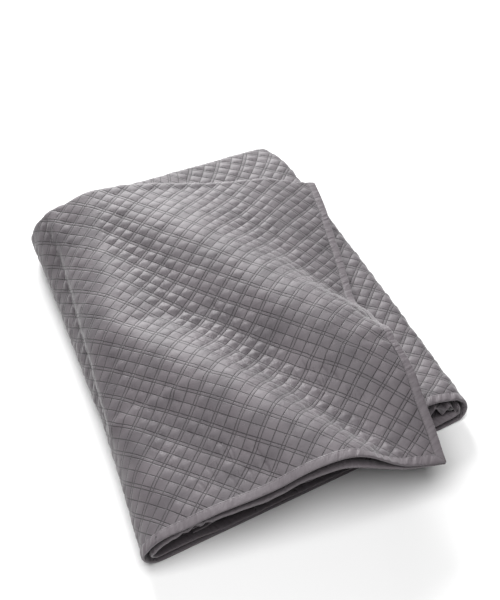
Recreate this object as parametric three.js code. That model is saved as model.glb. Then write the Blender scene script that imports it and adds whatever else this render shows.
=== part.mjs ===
import * as THREE from 'three';

const { clamp, lerp, smoothstep } = THREE.MathUtils;

// A quilted bedspread, folded in half and then in three, lying on a flat surface.
// Millimetres: x along the flap's front edge, y towards the far fold, z up.
const cell = 28; // between neighbouring stitch lines of the quilting
const sheet = 4; // quilted cloth, measured on a stitch line
const puff = 3; // rise of a cell above its stitch lines
const depth = 985; // front edges to the far fold
const farShare = 0.965; // of that depth reached along the flap's free edge
const plyGap = 18; // between the middles of the two plies of the halved cloth
const tailGap = 11; // the same at the tucked-in tail
const tipGap = 10; // and at the flap's free corner
const tipRun = 250; // the plies close up towards that corner over this run and depth

const bindWidth = 22; // visible width of the binding
const bindWall = 1; // cloth of the binding
const bindBevel = 0.8; // rounding of its folded edge
const seamGap = 0.9; // clearance between the cloth and its binding
const mitreGap = 0.4; // each strip's end stands back from its mitre by this
const bindClear = bindWall + seamGap; // binding's outside to the cloth inside it
const bindInner = bindWidth + 2 * mitreGap; // first line of the cloth clear of the binding

const flapEdge = 702; // flap's free edge, measured across from the left fold's front end
const flapRun = 700; // usual run of the flap from its free edge to the left fold
const leftRun = 88; // usual run round the left fold
const bottomRun = 630; // usual run of the bottom third
const rightRun = 92; // usual run round the right fold
const middleRun = 546; // usual run of the tucked-in third
const leftEnd = flapRun + leftRun;
const bottomEnd = leftEnd + bottomRun;
const rightEnd = bottomEnd + rightRun;
const tailEnd = rightEnd + middleRun;

const foldStart = 20; // where the left fold begins at the front, across the flap
const foldSlant = -0.078; // its drift to the left for each millimetre back
const steepest = 0.9; // of the flap where the left fold begins, rise over cloth length
const rollWidth = 90; // the flap sinks towards the left fold over this width
const rollDepth = 36; // and by this much
const flapLevel = 128; // mean height of the flap
const flapMiddle = 336; // where it has that height
const flapTilt = 0.05; // rise to the right
const hollow = 0.2; // share of a wave's rise that opens the two plies
const hollowFade = 120; // the plies close again towards the left fold over this width

const bendDrift = 24; // the cloth moves back by this much round the left fold
const middleHeight = 57; // tucked-in third at the right fold
const rightBow = 8; // outward bow of the right fold
const cornerIn = 20; // its far end is rounded inwards by this much
const cornerRun = 90; // over this depth
const rightFront = new THREE.Vector2(730, 166); // right fold's middle line, front end
const rightBack = new THREE.Vector2(598, 1147); // and far end
const tailFront = new THREE.Vector3(108, 46, 50); // free edge of the tucked-in third, front end
const tailBack = new THREE.Vector3(150, 1066, 96); // and far end
const edgeLift = 60; // the bottom third's front edge is raised by its binding over this width

// Waves of the flap. A row for each station back from the front edge: the crest's place across
// the flap, its rise, and how far it spreads to its left and to its right.
const waves = {
  longRidge: [
    { back: 0, across: 860, rise: -38, left: 385, right: 128 },
    { back: 190, across: 700, rise: 27, left: 336, right: 105 },
    { back: 380, across: 566, rise: 62, left: 242, right: 286 },
    { back: 570, across: 452, rise: 64, left: 242, right: 210 },
    { back: 760, across: 361, rise: 56, left: 204, right: 198 },
    { back: 950, across: 322, rise: 26, left: 285, right: 230 },
  ],
  frontRidge: [
    { back: 0, across: 448, rise: 75, left: 288, right: 186 },
    { back: 40, across: 434, rise: 77, left: 282, right: 176 },
    { back: 170, across: 355, rise: 84, left: 248, right: 175 },
    { back: 335, across: 266, rise: 77, left: 250, right: 191 },
    { back: 530, across: 133, rise: 52, left: 143, right: 303 },
  ],
  cornerRidge: [
    { back: 0, across: 196, rise: 20, left: 109, right: 147 },
    { back: 160, across: 150, rise: 18, left: 166, right: 132 },
    { back: 320, across: 30, rise: 10, left: 40, right: 178 },
  ],
  sideDip: [
    { back: 335, across: 732, rise: -16, left: 171, right: 110 },
    { back: 560, across: 810, rise: -76, left: 308, right: 120 },
    { back: 840, across: 763, rise: -66, left: 261, right: 140 },
  ],
};

const step = 10; // of the running sums and slopes
const nudge = 1; // either way, where the cloth's direction is taken

// Slope of a table's column at one of its rows.
function rowSlope(table, column, k) {
  const before = table[Math.max(k - 1, 0)];
  const after = table[Math.min(k + 1, table.length - 1)];
  return (after[column] - before[column]) / (after.back - before.back);
}

// Smooth value of a table's column at a distance back from the front edge.
function along(table, column, back) {
  const b = clamp(back, table[0].back, table[table.length - 1].back);
  let k = 0;
  while (k < table.length - 2 && b > table[k + 1].back) {
    k += 1;
  }
  const span = table[k + 1].back - table[k].back;
  const t = (b - table[k].back) / span;
  const rise = table[k + 1][column] - table[k][column];
  const leave = rowSlope(table, column, k) * span;
  const arrive = rowSlope(table, column, k + 1) * span;
  const bend = 3 * rise - 2 * leave - arrive;
  const twist = leave + arrive - 2 * rise;
  return table[k][column] + t * leave + t ** 2 * bend + t ** 3 * twist;
}

// Rise of all waves at a place on the flap.
function waveRise(across, back) {
  let sum = 0;
  for (const table of Object.values(waves)) {
    const off = across - along(table, 'across', back);
    const width = along(table, off < 0 ? 'left' : 'right', back);
    const near = Math.min(Math.abs(off) / width, 1);
    sum += along(table, 'rise', back) * Math.cos((near * Math.PI) / 2) ** 2;
  }
  return sum;
}

function foldLine(back) {
  return foldStart + foldSlant * back;
}

function flapHeight(across, back) {
  const roll = Math.max(1 - (across - foldLine(back)) / rollWidth, 0);
  return flapLevel + flapTilt * (across - flapMiddle) - rollDepth * roll ** 2 + waveRise(across, back);
}

// Level run of a cloth path whose height is given, so that the cloth keeps its length.
function levelRun(height, to) {
  const stride = Math.sign(to) * step;
  const pieces = Math.floor(to / stride);
  let run = 0;
  let from = 0;
  for (let k = 0; k <= pieces && from !== to; k += 1) {
    const next = k < pieces ? from + stride : to;
    const slope = (height(next) - height(from)) / (next - from);
    run += (next - from) * Math.sqrt(Math.max(1 - slope ** 2, 0));
    from = next;
  }
  return run;
}

function flapPoint(across, back) {
  const x = levelRun((a) => flapHeight(a, back), across);
  const y = levelRun((b) => flapHeight(across, b), back);
  return new THREE.Vector3(x, y, flapHeight(across, back));
}

// Middle height of the bottom third's outer ply.
function bottomHeight(back) {
  return sheet / 2 + bindClear * (1 - smoothstep(back, bindInner, edgeLift));
}

// Round bend from the flap's left slope down to the bottom third.
function leftBend(back) {
  const start = flapPoint(foldLine(back), back);
  const slope = (flapHeight(foldLine(back) + step, back) - start.z) / step;
  const tilt = Math.asin(Math.min(slope, steepest));
  const radius = (start.z - bottomHeight(back)) / (1 + Math.cos(tilt));
  const inward = new THREE.Vector3(Math.sin(tilt), 0, -Math.cos(tilt));
  const middle = start.clone().addScaledVector(inward, radius);
  return { tilt, radius, middle };
}

// Place on the flap: across from the left fold, back from the front edge.
function flapSpot(run, back) {
  const share = run / flapRun;
  const across = lerp(flapEdge, foldLine(back), share);
  return [across, back * lerp(farShare, 1, share)];
}

// Right fold's middle line and its outward direction.
const rightLine = rightBack.clone().sub(rightFront).normalize();
const rightOut = new THREE.Vector2(rightLine.y, -rightLine.x);
function rightMiddle(back) {
  const share = back / depth;
  const corner = cornerIn * Math.max(1 - (depth - back) / cornerRun, 0) ** 2;
  const bow = rightBow * (1 - (2 * share - 1) ** 2);
  return rightFront.clone().lerp(rightBack, share).addScaledVector(rightOut, bow - corner);
}

// Outer ply of the halved cloth: run from the flap's free edge, distance back from the front edge.
function place(run, back) {
  if (run <= flapRun) {
    return flapPoint(...flapSpot(run, back));
  }
  const bend = leftBend(back);
  if (run <= leftEnd) {
    const turn = lerp(bend.tilt, Math.PI, (run - flapRun) / leftRun);
    const out = new THREE.Vector3(-Math.sin(turn), 0, Math.cos(turn));
    bend.middle.y += (bendDrift * (run - flapRun)) / leftRun;
    return bend.middle.addScaledVector(out, bend.radius);
  }
  const right = rightMiddle(back);
  const low = bottomHeight(back);
  if (run <= bottomEnd) {
    const share = (run - leftEnd) / bottomRun;
    const x = lerp(bend.middle.x, right.x, share);
    const y = lerp(bend.middle.y + bendDrift, right.y, share);
    return new THREE.Vector3(x, y, low);
  }
  if (run <= rightEnd) {
    const turn = ((run - bottomEnd) / rightRun) * Math.PI;
    const radius = (middleHeight - low) / 2;
    const plan = right.addScaledVector(rightOut, radius * Math.sin(turn));
    return new THREE.Vector3(plan.x, plan.y, low + radius * (1 - Math.cos(turn)));
  }
  const tail = tailFront.clone().lerp(tailBack, back / depth);
  return new THREE.Vector3(right.x, right.y, middleHeight).lerp(tail, (run - rightEnd) / middleRun);
}

// Gap of the two plies.
function gapAt(run, back) {
  if (run >= rightEnd) {
    return lerp(plyGap, tailGap, (run - rightEnd) / middleRun);
  }
  if (run >= flapRun) {
    return plyGap;
  }
  const open = hollow * smoothstep(flapRun - run, 0, hollowFade);
  const tip = (1 - smoothstep(run, 0, tipRun)) * (1 - smoothstep(back, 0, tipRun));
  return lerp(plyGap, tipGap, tip) + open * Math.max(waveRise(...flapSpot(run, back)), 0);
}

// A point of the cloth: turn is 0 on the outer ply and half a circle later on the inner one,
// side is the distance from the cloth's middle towards its face.
function at(run, back, turn, side) {
  const point = place(run, back);
  const runStart = Math.max(run - nudge, 0);
  const runStop = Math.min(run + nudge, tailEnd);
  const backStart = Math.max(back - nudge, 0);
  const backStop = Math.min(back + nudge, depth);
  const alongRun = place(runStop, back).sub(place(runStart, back));
  const alongBack = place(run, backStop).sub(place(run, backStart)).normalize();
  const normal = alongBack.clone().cross(alongRun).normalize();
  const half = gapAt(run, back) / 2;
  const outward = normal.clone().multiplyScalar(Math.cos(turn));
  outward.addScaledVector(alongBack, Math.sin(turn));
  return point.addScaledVector(normal, -half).addScaledVector(outward, half + side);
}

// Lines across the cloth's run and along its depth. Parts is the number of half cells up to the
// next line, show tells where the quilting is raised: nowhere, all over, or by the far fold only.
const mesh = 2 * cell * Math.SQRT1_2; // a whole diamond of the quilting, measured along the edges
function spread(list, count, from, to, more) {
  for (let k = 0; k < count; k += 1) {
    list.push({ at: lerp(from, to, k / count), ...more });
  }
}

const flapColumns = 17;
const bendColumns = 4; // round the left fold, and round the right one
const bottomColumns = 4;
const shownColumns = 3; // of the tucked-in third, beside the right fold
const tuckedColumns = 6; // of its rest, under the flap
const shownEnd = rightEnd + shownColumns * mesh;
const columns = [{ at: bindClear, parts: 1, show: 'no' }];
spread(columns, flapColumns, bindInner, flapRun, { parts: 2, show: 'all' });
spread(columns, bendColumns, flapRun, leftEnd, { parts: 1, show: 'all' });
spread(columns, bottomColumns, leftEnd, bottomEnd, { parts: 1, show: 'no' });
spread(columns, bendColumns, bottomEnd, rightEnd, { parts: 1, show: 'all' });
spread(columns, shownColumns, rightEnd, shownEnd, { parts: 2, show: 'all' });
spread(columns, tuckedColumns, shownEnd, tailEnd - bindInner, { parts: 4, show: 'far' });
columns.push({ at: tailEnd - bindInner, parts: 1, show: 'no' });
columns.push({ at: tailEnd - bindClear, parts: 1, show: 'no' });

const nearRows = 20;
const farRows = 5; // by the far fold
const turnRows = 3; // round the far fold
const innerRows = 16;
const farStart = depth - farRows * mesh;
const rows = [{ at: bindClear, turn: 0, parts: 1, show: 'no' }];
spread(rows, nearRows, bindInner, farStart, { turn: 0, parts: 2, show: 'near' });
spread(rows, farRows, farStart, depth, { turn: 0, parts: 2, show: 'far' });
for (let k = 0; k < turnRows; k += 1) {
  rows.push({ at: depth, turn: (k / turnRows) * Math.PI, parts: 1, show: 'no' });
}
spread(rows, innerRows, depth, bindInner, { turn: Math.PI, parts: 1, show: 'no' });
rows.push({ at: bindInner, turn: Math.PI, parts: 1, show: 'no' });
rows.push({ at: bindClear, turn: Math.PI, parts: 1, show: 'no' });

// Running count of half cells at each line.
function starts(lines) {
  const list = [0];
  for (const line of lines.slice(0, -1)) {
    list.push(list[list.length - 1] + line.parts);
  }
  return list;
}
const columnStart = starts(columns);
const rowStart = starts(rows);

function isQuilted(c, r) {
  if (c < 0 || r < 0 || c > columns.length - 2 || r > rows.length - 2) {
    return false;
  }
  if (columns[c].show === 'all') {
    return rows[r].show !== 'no';
  }
  return columns[c].show === 'far' && rows[r].show === 'far';
}

// Line before and line after a count of half cells.
function linesBeside(list, index) {
  const after = list.findLastIndex((start) => start <= index);
  return [list[after] === index ? after - 1 : after, after];
}

function isRaised(i, j) {
  const beside = linesBeside(columnStart, i);
  const deep = linesBeside(rowStart, j);
  const quilted = beside.every((c) => deep.every((r) => isQuilted(c, r)));
  return quilted && (i + j) % 2 === 1;
}

function makeMesh(name, points, faces, material) {
  let volume = 0;
  for (const [a, b, c] of faces) {
    volume += points[a].clone().cross(points[b]).dot(points[c]);
  }
  const index = faces.flatMap(([a, b, c]) => (volume > 0 ? [a, b, c] : [a, c, b]));
  const geometry = new THREE.BufferGeometry();
  const places = points.flatMap((point) => point.toArray());
  geometry.setAttribute('position', new THREE.Float32BufferAttribute(places, 3));
  geometry.setIndex(index);
  geometry.computeVertexNormals();
  const piece = new THREE.Mesh(geometry, material);
  piece.name = name;
  return piece;
}

// The quilted cloth: its face with raised cells, its back, and the edges between them.
function quiltedCloth(name, material) {
  const points = [];
  const faces = [];
  const grid = columns.map((column) => rows.map((row) => ({
    face: at(column.at, row.at, row.turn, sheet / 2),
    back: at(column.at, row.at, row.turn, -sheet / 2),
  })));
  const backIds = grid.map((column) => column.map((corner) => points.push(corner.back) - 1));
  const faceIds = new Map();

  // Index of a face point inside a mesh of lines, p of the way across and q of the way deep.
  function facePoint(c, r, p, q) {
    const i = columnStart[c] + p;
    const j = rowStart[r] + q;
    const key = `${i},${j}`;
    if (!faceIds.has(key)) {
      const u = p / columns[c].parts;
      const v = q / rows[r].parts;
      const next = Math.min(c + 1, columns.length - 1);
      const deep = Math.min(r + 1, rows.length - 1);
      const mix = (side) => {
        const near = grid[c][r][side].clone().lerp(grid[next][r][side], u);
        const far = grid[c][deep][side].clone().lerp(grid[next][deep][side], u);
        return near.lerp(far, v);
      };
      const point = mix('face');
      const outward = point.clone().sub(mix('back')).normalize();
      point.addScaledVector(outward, isRaised(i, j) ? puff : 0);
      faceIds.set(key, points.push(point) - 1);
    }
    return faceIds.get(key);
  }

  // Points along one side of a mesh, its first corner and those that a quilted neighbour needs.
  function sidePoints(c, r, side) {
    const [across, deep] = [columns[c].parts, rows[r].parts];
    const neighbours = [[c, r - 1], [c + 1, r], [c, r + 1], [c - 1, r]];
    const parts = isQuilted(...neighbours[side]) ? [across, deep][side % 2] : 1;
    const length = [across, deep][side % 2];
    const list = [];
    for (let k = 0; k < parts; k += 1) {
      const s = (k * length) / parts;
      const spots = [[s, 0], [across, s], [across - s, deep], [0, deep - s]];
      list.push(facePoint(c, r, ...spots[side]));
    }
    return list;
  }

  // Two of the corner meshes are split the other way, along the mitre of their binding.
  function onOtherMitre(c, r) {
    return (c === 0 && r === rows.length - 2) || (c === columns.length - 2 && r === 0);
  }

  function plainMesh(c, r) {
    const sides = [0, 1, 2, 3].map((side) => sidePoints(c, r, side));
    const isStart = (list, k) => list.length === 1 && sides[(k + 3) % 4].length === 1;
    const turn = onOtherMitre(c, r) ? 1 : sides.findIndex(isStart);
    const loop = [...sides.slice(turn), ...sides.slice(0, turn)].flat();
    for (let k = 1; k < loop.length - 1; k += 1) {
      faces.push([loop[0], loop[k], loop[k + 1]]);
    }
  }

  // Cells are split along the stitch lines, from low point to low point.
  function quiltedMesh(c, r) {
    for (let p = 0; p < columns[c].parts; p += 1) {
      for (let q = 0; q < rows[r].parts; q += 1) {
        const spots = [[p, q], [p + 1, q], [p + 1, q + 1], [p, q + 1]];
        const corners = spots.map((spot) => facePoint(c, r, ...spot));
        const low = (columnStart[c] + p + rowStart[r] + q) % 2;
        faces.push([corners[low], corners[low + 1], corners[low + 2]]);
        faces.push([corners[low], corners[low + 2], corners[(low + 3) % 4]]);
      }
    }
  }

  const lastColumn = columns.length - 1;
  const lastRow = rows.length - 1;
  for (let c = 0; c < lastColumn; c += 1) {
    for (let r = 0; r < lastRow; r += 1) {
      if (isQuilted(c, r)) {
        quiltedMesh(c, r);
      } else {
        plainMesh(c, r);
      }
      const [a, b] = [backIds[c][r], backIds[c + 1][r]];
      const [d, e] = [backIds[c + 1][r + 1], backIds[c][r + 1]];
      if (onOtherMitre(c, r)) {
        faces.push([a, e, b], [b, e, d]);
      } else {
        faces.push([a, d, b], [a, e, d]);
      }
    }
  }

  function edgeBetween(c1, r1, c2, r2) {
    const [f1, f2] = [facePoint(c1, r1, 0, 0), facePoint(c2, r2, 0, 0)];
    const [b1, b2] = [backIds[c1][r1], backIds[c2][r2]];
    faces.push([f2, f1, b1], [f2, b1, b2]);
  }
  for (let c = 0; c < lastColumn; c += 1) {
    edgeBetween(c, 0, c + 1, 0);
    edgeBetween(c + 1, lastRow, c, lastRow);
  }
  for (let r = 0; r < lastRow; r += 1) {
    edgeBetween(0, r + 1, 0, r);
    edgeBetween(lastColumn, r, lastColumn, r + 1);
  }
  return makeMesh(name, points, faces, material);
}

// Section of a binding strip: distance in from the cloth's edge, distance from the cloth's middle.
const bindInside = sheet / 2 + seamGap;
const bindOutside = bindInside + bindWall;
const bindSection = [
  [bindWidth, bindOutside],
  [bindBevel, bindOutside],
  [0, sheet / 2],
  [0, -sheet / 2],
  [bindBevel, -bindOutside],
  [bindWidth, -bindOutside],
  [bindWidth, -bindInside],
  [bindWall, -bindInside],
  [bindWall, bindInside],
  [bindWidth, bindInside],
].map(([inward, side]) => new THREE.Vector2(inward, side));

// A strip folded over an edge; each station places a point of the section. Its facets lean
// the same way as those of the cloth inside it.
function bindingStrip(name, stations, leansIn, material) {
  const points = stations.flatMap((station) => bindSection.map((spot) => station(spot.x, spot.y)));
  const count = bindSection.length;
  const faces = [];
  for (let s = 0; s < stations.length - 1; s += 1) {
    for (let k = 0; k < count; k += 1) {
      const next = (k + 1) % count;
      const [a, b] = [s * count + k, s * count + next];
      if (bindSection[next].x > bindSection[k].x === leansIn) {
        faces.push([a, b, b + count], [a, b + count, a + count]);
      } else {
        faces.push([a, b, a + count], [b, b + count, a + count]);
      }
    }
  }
  const last = (stations.length - 1) * count;
  for (const [a, b, c] of THREE.ShapeUtils.triangulateShape(bindSection, [])) {
    const ahead = !THREE.ShapeUtils.isClockWise(bindSection);
    const [p, q] = ahead ? [b, c] : [c, b];
    faces.push([a, q, p], [last + a, last + p, last + q]);
  }
  return makeMesh(name, points, faces, material);
}

// Strip along the run of one ply's front edge.
function frontStrip(name, turn, leansIn, material) {
  const inner = columns.slice(1, -1).map(
    (column) => (inward, side) => at(column.at, inward, turn, side),
  );
  const start = (inward, side) => at(inward + mitreGap, inward, turn, side);
  const stop = (inward, side) => at(tailEnd - inward - mitreGap, inward, turn, side);
  return bindingStrip(name, [start, ...inner, stop], leansIn, material);
}

// Strip along the free edge at one end of the run, round the far fold.
function endStrip(name, runAt, leansIn, material) {
  const inner = rows.slice(1, -1).map(
    (row) => (inward, side) => at(runAt(inward), row.at, row.turn, side),
  );
  const start = (inward, side) => at(runAt(inward), inward + mitreGap, 0, side);
  const stop = (inward, side) => at(runAt(inward), inward + mitreGap, Math.PI, side);
  return bindingStrip(name, [start, ...inner, stop], leansIn, material);
}

const quilted = new THREE.MeshStandardMaterial({ color: 0x7b7779, roughness: 0.62, metalness: 0 });
quilted.name = 'quilted_sateen';
const plain = new THREE.MeshStandardMaterial({ color: 0x736f71, roughness: 0.58, metalness: 0 });
plain.name = 'plain_sateen';

const bedspread = new THREE.Group();
bedspread.name = 'quilted_bedspread';
bedspread.add(quiltedCloth('quilted_panel', quilted));
bedspread.add(frontStrip('binding_front', 0, true, plain));
bedspread.add(frontStrip('binding_under', Math.PI, false, plain));
bedspread.add(endStrip('binding_flap', (inward) => inward, true, plain));
bedspread.add(endStrip('binding_tail', (inward) => tailEnd - inward, false, plain));

// The origin is under the middle of the whole, on the surface it lies on.
const box = new THREE.Box3().setFromObject(bedspread);
const origin = box.getCenter(new THREE.Vector3());
for (const piece of bedspread.children) {
  piece.geometry.translate(-origin.x, -origin.y, -box.min.z);
}

export default bedspread;
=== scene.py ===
import math

import bpy
import numpy as np
from mathutils import Matrix, Vector


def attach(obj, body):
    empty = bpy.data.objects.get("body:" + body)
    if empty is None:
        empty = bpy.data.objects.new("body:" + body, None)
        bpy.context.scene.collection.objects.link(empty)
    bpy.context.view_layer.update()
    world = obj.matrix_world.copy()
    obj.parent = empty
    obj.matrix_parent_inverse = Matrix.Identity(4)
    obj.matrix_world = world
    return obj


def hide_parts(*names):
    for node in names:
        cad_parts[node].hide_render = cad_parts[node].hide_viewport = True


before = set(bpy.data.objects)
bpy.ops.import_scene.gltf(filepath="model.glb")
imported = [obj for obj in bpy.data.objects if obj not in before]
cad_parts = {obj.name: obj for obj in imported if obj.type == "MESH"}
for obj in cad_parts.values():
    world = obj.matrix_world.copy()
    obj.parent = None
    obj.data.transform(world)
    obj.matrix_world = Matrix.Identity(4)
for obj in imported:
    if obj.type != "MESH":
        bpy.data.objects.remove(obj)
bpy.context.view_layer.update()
print("frame loaded:", sorted(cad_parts))

mm = 0.001  # the shapes below are worked out in mm and go into Blender in metres


def smooth(x, low, high):
    t = np.clip((x - low) / (high - low), 0, 1)
    return t * t * (3 - 2 * t)


def mix(a, b, t):
    return a + (b - a) * t


def unit(v):
    return v / np.linalg.norm(v, axis=-1, keepdims=True)


# How the spread lies: x along the flap's front edge, y to the far fold, z up from the floor.
lie = {
    "depth": 985.0,  # front edges to the far fold
    "farShare": 0.965,  # of that depth reached along the flap's free edge
    "sheet": 3.0,  # thickness of the cloth on a stitch line, a little under the solid's
    "plyGap": 18.0,  # between the two plies of the halved cloth
    "tailGap": 11.0,  # the same at the tucked-in end
    "tipGap": 5.8,  # and at the flap's free corner
    "tipRun": 320.0,  # from that corner to the full gap
    "flapEdge": 702.0,  # across, the flap's free edge
    "foldStart": 20.0,  # across, where the left fold begins at the front
    "foldSlant": -0.078,  # and how that shifts for each mm back
    "slopeReach": 10.0,  # length over which the flap's slope at the fold is taken
    "steepest": 0.9,  # sine of the steepest slope that the fold goes on from
    "rollWidth": 90.0,  # the flap rolls down to the fold over this width
    "rollDepth": 36.0,
    "flapLevel": 128.0,  # height of the flap without its waves
    "flapMiddle": 336.0,
    "flapTilt": 0.05,
    "hollow": 0.2,  # share of a wave's rise by which the plies stand further apart
    "hollowFade": 120.0,
    "bendDrift": 24.0,  # to the back, round the left fold
    "middleHeight": 57.0,  # top of the right fold
    "rightBow": 8.0,
    "cornerIn": 20.0,  # the far right corner is drawn in
    "cornerRun": 90.0,
    "rightFront": (730.0, 166.0),
    "rightBack": (598.0, 1147.0),
    "tailFront": (108.0, 46.0, 50.0),
    "tailBack": (150.0, 1066.0, 96.0),
    "edgeRise": 1.9,  # the bottom third's front edge is raised by its binding
    "edgeFlat": 23.0,
    "edgeLift": 60.0,
    "middleOfAll": (353.24, 573.71),  # the frame's origin, from the flap's front left
}

# Waves of the flap, a row for each station back from the front edge: where the wave's crest is
# across, its rise, and how far it reaches to the left and to the right.
waveColumns = ("back", "across", "rise", "left", "right")
waves = {
    "longRidge": [
        (0, 860, -38, 385, 128),
        (190, 700, 27, 336, 105),
        (380, 566, 62, 242, 286),
        (570, 452, 64, 242, 210),
        (760, 361, 56, 204, 198),
        (950, 322, 26, 285, 230),
    ],
    "frontRidge": [
        (0, 448, 75, 288, 186),
        (40, 434, 77, 282, 176),
        (170, 355, 84, 248, 175),
        (335, 266, 77, 250, 191),
        (530, 133, 52, 143, 303),
    ],
    "cornerRidge": [
        (0, 196, 20, 109, 147),
        (160, 150, 18, 166, 132),
        (320, 30, 10, 40, 178),
    ],
    "sideDip": [
        (335, 732, -16, 171, 110),
        (560, 810, -76, 308, 120),
        (840, 763, -66, 261, 140),
    ],
}

# Working grid of the flap.
depth = lie["depth"]
backLine = np.linspace(0, depth, 200)
backStep = backLine[1] - backLine[0]
acrossStep = 4.0
acrossLine = np.arange(-92.0, 724.0, acrossStep)  # from past the left fold to past the free edge


# A wave's value between its stations, on a smooth curve.
def waveValue(rows, name, back):
    at = np.array([r[0] for r in rows], float)
    value = np.array([r[waveColumns.index(name)] for r in rows], float)
    before = np.maximum(np.arange(len(at)) - 1, 0)
    after = np.minimum(np.arange(len(at)) + 1, len(at) - 1)
    slope = (value[after] - value[before]) / (at[after] - at[before])
    b = np.clip(back, at[0], at[-1])
    k = np.searchsorted(at[1:-1], b)
    span = at[k + 1] - at[k]
    t = (b - at[k]) / span
    rise = value[k + 1] - value[k]
    leave = slope[k] * span
    arrive = slope[k + 1] * span
    square = 3 * rise - 2 * leave - arrive
    cube = leave + arrive - 2 * rise
    return value[k] + t * leave + t**2 * square + t**3 * cube


def waveRise(across, back):
    total = 0
    for rows in waves.values():
        off = across - waveValue(rows, "across", back)
        width = np.where(off < 0, waveValue(rows, "left", back), waveValue(rows, "right", back))
        near = np.minimum(np.abs(off) / width, 1)
        total = total + waveValue(rows, "rise", back) * np.cos(near * math.pi / 2) ** 2
    return total


def foldLine(back):
    return lie["foldStart"] + lie["foldSlant"] * back


def flapHeight(across, back):
    roll = np.maximum(1 - (across - foldLine(back)) / lie["rollWidth"], 0)
    level = lie["flapLevel"] + lie["flapTilt"] * (across - lie["flapMiddle"])
    return level - lie["rollDepth"] * roll**2 + waveRise(across, back)


def levelRun(heights, step, axis):
    slope = np.diff(heights, axis=axis) / step
    run = np.cumsum(step * np.sqrt(np.maximum(1 - slope**2, 0)), axis=axis)
    return np.insert(run, 0, 0, axis=axis)


# The flap worked out once on its grid: the cloth keeps its length over the waves.
flapZ = flapHeight(acrossLine[:, None], backLine[None, :])
flapX = levelRun(flapZ, acrossStep, 0)
flapX -= flapX[np.searchsorted(acrossLine, 0)]
flapY = levelRun(flapZ, backStep, 1)


def flapAt(across):  # across has a column for each place of backLine
    k = np.clip(((across - acrossLine[0]) / acrossStep).astype(int), 0, len(acrossLine) - 2)
    t = (across - acrossLine[k]) / acrossStep
    j = np.arange(len(backLine))
    return np.stack([mix(g[k, j], g[k + 1, j], t) for g in (flapX, flapY, flapZ)], -1)


def bottomHeight(back):
    return lie["sheet"] / 2 + lie["edgeRise"] * (1 - smooth(back, lie["edgeFlat"], lie["edgeLift"]))


# Right fold, seen from above, and the tucked-in end.
rightFront, rightBack = np.array(lie["rightFront"]), np.array(lie["rightBack"])
rightWay = unit(rightBack - rightFront)
rightOut = np.array([rightWay[1], -rightWay[0]])
low = bottomHeight(backLine)
share = backLine / depth
rightIn = lie["cornerIn"] * np.maximum(1 - (depth - backLine) / lie["cornerRun"], 0) ** 2
rightBow = lie["rightBow"] * (1 - (2 * share - 1) ** 2) - rightIn
rightMiddle = mix(rightFront, rightBack, share[:, None]) + rightBow[:, None] * rightOut
tailEdge = mix(np.array(lie["tailFront"]), np.array(lie["tailBack"]), share[:, None])

# Left fold: a round bend from the flap's slope down to the bottom third.
foldAt = foldLine(backLine)
foldTop = flapAt(foldAt[None, :])[0]
slopeReach = lie["slopeReach"]
foldSlope = (flapHeight(foldAt + slopeReach, backLine) - flapHeight(foldAt, backLine)) / slopeReach
foldTilt = np.arcsin(np.minimum(foldSlope, lie["steepest"]))
foldRadius = (foldTop[:, 2] - low) / (1 + np.cos(foldTilt))
towardAxis = np.stack([np.sin(foldTilt), 0 * foldTilt, -np.cos(foldTilt)], -1)
foldAxis = foldTop + foldRadius[:, None] * towardAxis
bottomStart = foldAxis[:, :2] + np.array([0, lie["bendDrift"]])
bottomWay = unit(rightMiddle - bottomStart)

# Columns of the cloth are named by q, mm of cloth from the flap's free edge.
leftQ = 940.0  # up to here the left part is followed
foldQ = 1530.0  # nominal start of the right fold
rightQ = foldQ - 40  # from here the right part is followed
shownQ = foldQ + 330  # from here the cloth is hidden under the flap
tailQ = 2200.0


def leftPart(q):
    across = lie["flapEdge"] - q[:, None]
    beyond = np.maximum(foldAt[None, :] - across, 0)
    turn = foldTilt + np.minimum(beyond / foldRadius, math.pi - foldTilt)
    done = (turn - foldTilt) / (math.pi - foldTilt)
    flat = np.maximum(beyond - foldRadius * (math.pi - foldTilt), 0)
    x = foldAxis[:, 0] - foldRadius * np.sin(turn) + bottomWay[:, 0] * flat
    y = foldAxis[:, 1] + lie["bendDrift"] * done + bottomWay[:, 1] * flat
    z = foldAxis[:, 2] + foldRadius * np.cos(turn)
    flap = flapAt(np.maximum(across, foldAt[None, :]))
    return np.where(beyond[..., None] > 0, np.stack([x, y, z], -1), flap)


def rightPart(q):
    r = q[:, None] - foldQ
    radius = (lie["middleHeight"] - low) / 2
    turn = np.clip(r / radius, 0, math.pi)
    bulge = rightOut * (radius * np.sin(turn))[..., None]
    plan = rightMiddle + bulge + bottomWay * np.minimum(r, 0)[..., None]
    point = np.concatenate([plan, (low + radius * (1 - np.cos(turn)))[..., None]], -1)
    top = np.concatenate([rightMiddle, np.full((len(backLine), 1), lie["middleHeight"])], -1)
    past = np.maximum(r - math.pi * radius, 0)
    return point + unit(tailEdge - top) * past[..., None]


def outerPly(q):
    left, right = leftPart(np.minimum(q, leftQ)), rightPart(np.clip(q, rightQ, shownQ))
    bottom = np.clip((q - leftQ) / (rightQ - leftQ), 0, 1)[:, None, None]
    tuck = np.clip((q - shownQ) / (tailQ - shownQ), 0, 1)[:, None, None]
    return mix(mix(left, right, bottom), tailEdge[None], tuck)


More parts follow.
